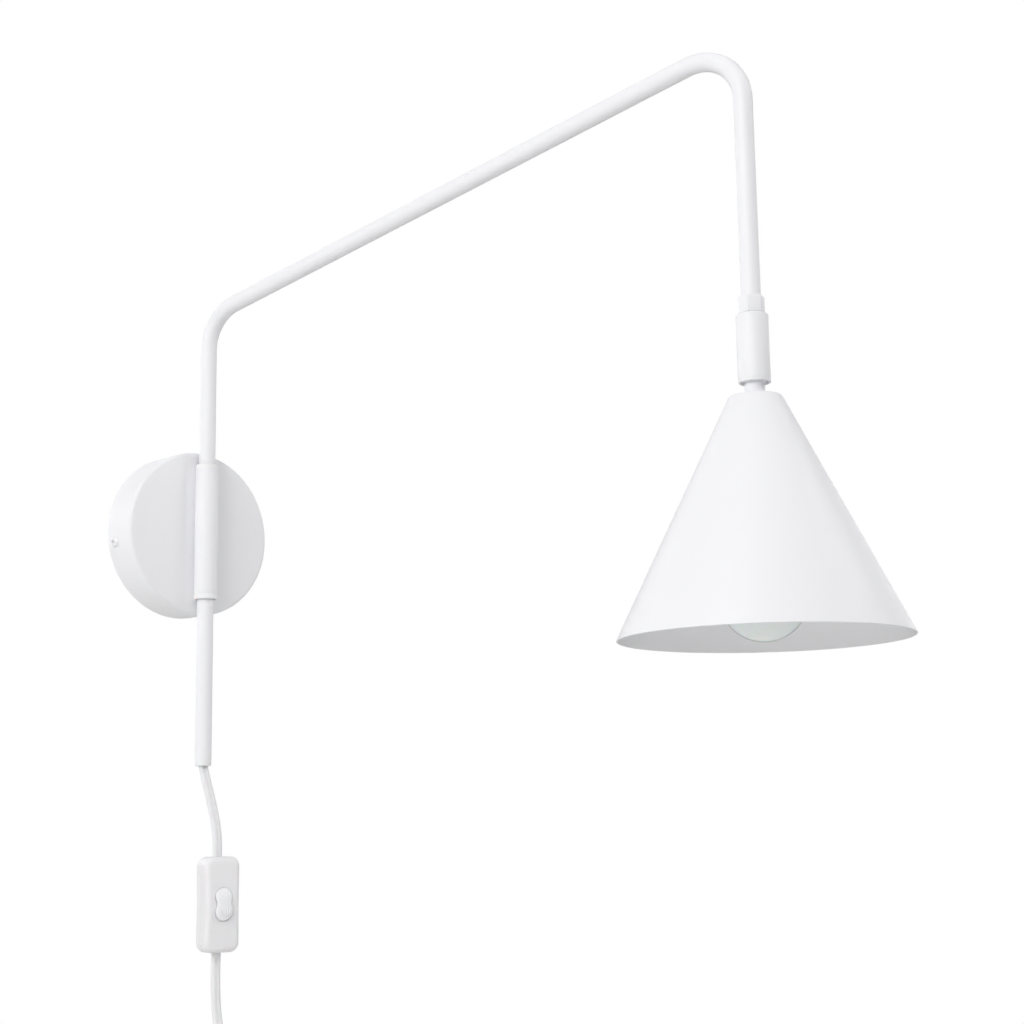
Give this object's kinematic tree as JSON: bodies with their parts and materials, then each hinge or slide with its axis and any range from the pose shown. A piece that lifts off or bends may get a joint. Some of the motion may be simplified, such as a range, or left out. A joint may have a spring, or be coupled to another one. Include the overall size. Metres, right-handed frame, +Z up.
{
  "type": "swing arm wall sconce",
  "caption": "Swing arm wall sconce: round canopy with vertical sleeve, bent tube arm, ball jointed cone shade with opal bulb, and a flat cord with inline rocker switch and plug.",
  "frame": {"origin": "centre of the canopy on the wall plane", "axes": "+Z up, +Y into the wall, -Y out into the room, +X to the right seen from the room"},
  "size_m": [0.1921, 0.4812, 0.7394],
  "materials": {
    "powder_coat": "matt white powder coat",
    "zinc_steel": "zinc plated",
    "white_nylon": "natural white, moulded",
    "cord_pvc": "satin extruded PVC",
    "switch_abs": "fine moulded satin",
    "brass": "bright, stamped",
    "holder_plastic": "moulded",
    "steatite": "pressed ceramic",
    "opal_glass": "opal white",
    "cap_steel": "rolled thread",
    "black_glass": "vitrite"
  },
  "bodies": {
    "wall": {"wall_strap": "zinc_steel", "canopy_cup": "powder_coat", "canopy_screws": "powder_coat", "sleeve_tube": "powder_coat", "sleeve_screws": "zinc_steel", "upper_bush": "white_nylon", "lower_bush": "white_nylon"},
    "arm": {"arm_tube": "powder_coat", "snap_rings": "zinc_steel", "cord_clamp": "white_nylon", "clamp_screw": "powder_coat", "arm_wire": "cord_pvc", "outlet_bush": "white_nylon", "hex_fitting": "powder_coat", "stem_ring": "zinc_steel", "cord_upper": "cord_pvc", "switch_front": "switch_abs", "switch_back": "switch_abs", "switch_screws": "zinc_steel", "switch_terminals": "brass", "rocker_pin": "zinc_steel", "cord_lower": "cord_pvc", "cord_hank": "cord_pvc", "hank_tie": "white_nylon", "cord_tail": "cord_pvc", "plug_body": "holder_plastic", "plug_pins": "brass"},
    "head": {"turn_washer": "white_nylon", "joint_housing": "powder_coat", "disc_springs": "zinc_steel", "ball_seat": "white_nylon", "socket_ring": "powder_coat"},
    "shade": {"ball_stud": "powder_coat", "shade_cone": "powder_coat", "shade_washer": "zinc_steel", "lock_nut": "zinc_steel", "holder_cap": "holder_plastic", "holder_base": "steatite", "holder_body": "holder_plastic", "holder_shell": "brass", "holder_contact": "brass", "bulb_globe": "opal_glass", "bulb_collar": "holder_plastic", "bulb_cap": "cap_steel", "bulb_insulator": "black_glass", "bulb_tip": "cap_steel"},
    "rocker": {"switch_rocker": "switch_abs", "rocker_bridge": "brass"}
  },
  "joints": [
    {"name": "arm_swing", "type": "hinge", "parent": "wall", "child": "arm", "pos_m": [0, -0.031, 0], "axis": [0, 0, 1], "range_deg": [-90, 70]},
    {"name": "head_turn", "type": "hinge", "parent": "arm", "child": "head", "pos_m": [0.06651, -0.40818, 0.0502], "axis": [0, 0, 1], "range_deg": [-170, 170]},
    {"name": "shade_tilt", "type": "hinge", "parent": "head", "child": "shade", "pos_m": [0.06651, -0.40818, 0.0385], "axis": [0.9848, 0.1736, 0], "range_deg": [-20, 20]},
    {"name": "switch_rocker", "type": "hinge", "parent": "arm", "child": "rocker", "pos_m": [0.00539, -0.04383, -0.226], "axis": [0.9816, -0.1908, 0], "range_deg": [0, 16]}
  ]
}
